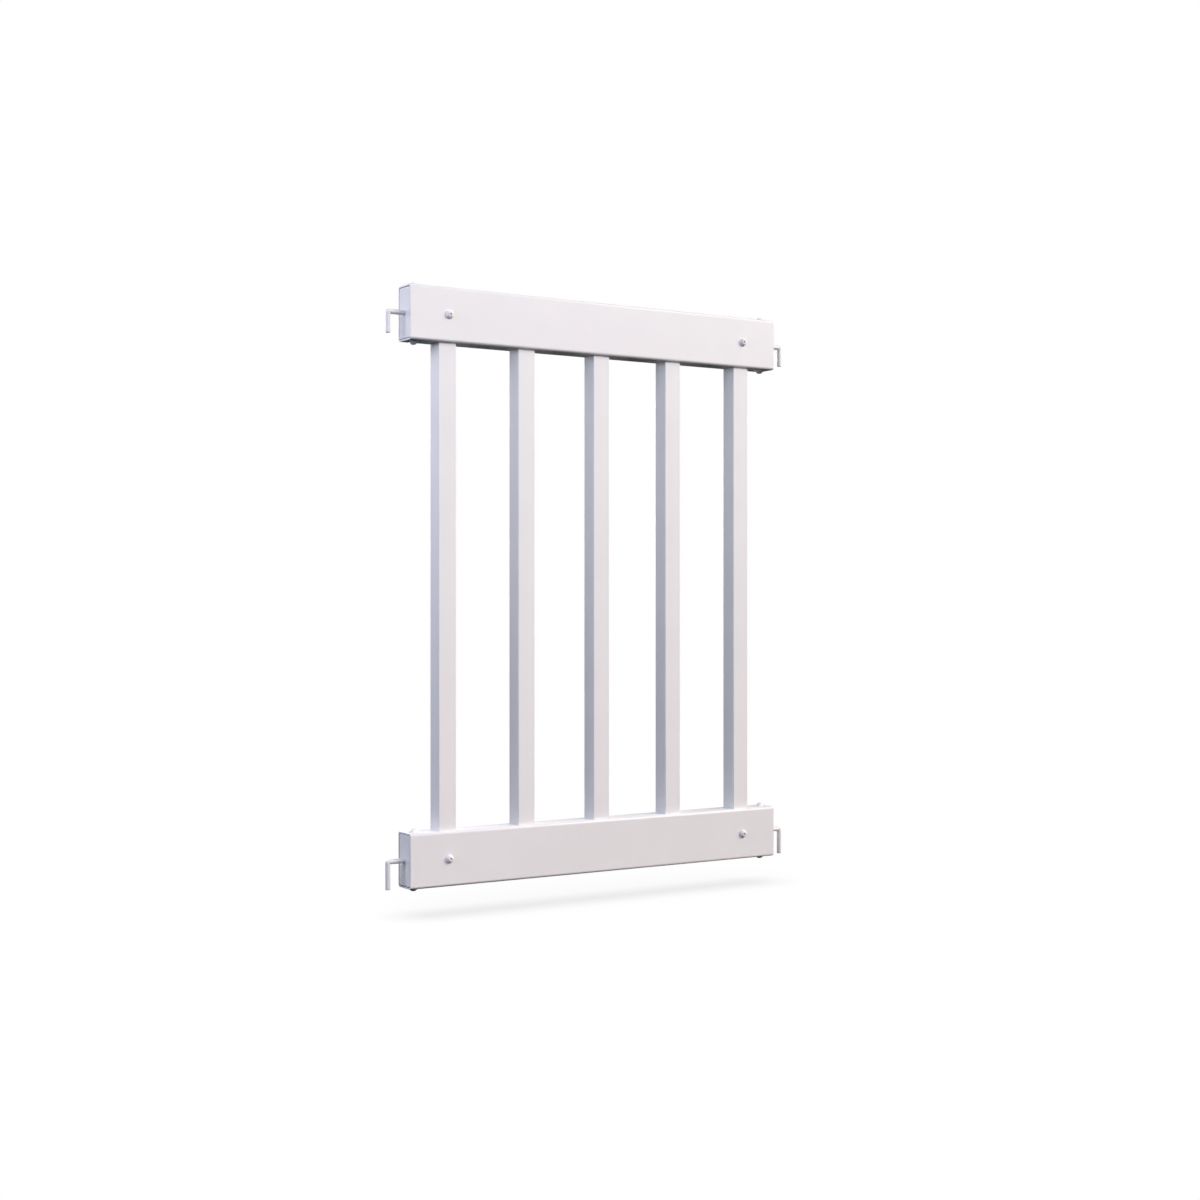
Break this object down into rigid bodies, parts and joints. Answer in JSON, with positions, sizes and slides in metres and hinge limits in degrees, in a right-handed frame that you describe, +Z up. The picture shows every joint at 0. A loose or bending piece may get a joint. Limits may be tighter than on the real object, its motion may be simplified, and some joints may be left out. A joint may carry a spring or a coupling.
{
  "type": "fence panel",
  "caption": "White fence infill panel of square balusters between box rails, with a downward rod hook at each rail end that hangs it between posts.",
  "frame": {"origin": "middle of the bottom rail's underside", "axes": "+Z up, +X along the rails to the viewer's right, -Y out of the panel's front, where the baluster screws are"},
  "size_m": [0.8912, 0.056, 1.097],
  "materials": {
    "white_coat": "satin white powder coat on aluminium tube",
    "plug_plastic": "white moulded plastic",
    "hook_coat": "white coated steel rod",
    "screw_coat": "white coated steel screws",
    "fastener_steel": "bright zinc-plated steel"
  },
  "bodies": {
    "root": {"top_rail": "white_coat", "bottom_rail": "white_coat", "baluster_1": "white_coat", "baluster_2": "white_coat", "baluster_3": "white_coat", "baluster_4": "white_coat", "baluster_5": "white_coat", "bottom_left_end_plug": "plug_plastic", "bottom_left_hook": "hook_coat", "bottom_left_hook_washer": "fastener_steel", "bottom_left_hook_nut": "fastener_steel", "bottom_left_plug_screws": "screw_coat", "bottom_left_baluster_screw": "screw_coat", "bottom_left_rivet_nut": "fastener_steel", "bottom_right_end_plug": "plug_plastic", "bottom_right_hook": "hook_coat", "bottom_right_hook_washer": "fastener_steel", "bottom_right_hook_nut": "fastener_steel", "bottom_right_plug_screws": "screw_coat", "bottom_right_baluster_screw": "screw_coat", "bottom_right_rivet_nut": "fastener_steel", "top_left_end_plug": "plug_plastic", "top_left_hook": "hook_coat", "top_left_hook_washer": "fastener_steel", "top_left_hook_nut": "fastener_steel", "top_left_plug_screws": "screw_coat", "top_left_baluster_screw": "screw_coat", "top_left_rivet_nut": "fastener_steel", "top_right_end_plug": "plug_plastic", "top_right_hook": "hook_coat", "top_right_hook_washer": "fastener_steel", "top_right_hook_nut": "fastener_steel", "top_right_plug_screws": "screw_coat", "top_right_baluster_screw": "screw_coat", "top_right_rivet_nut": "fastener_steel"}
  },
  "joints": []
}
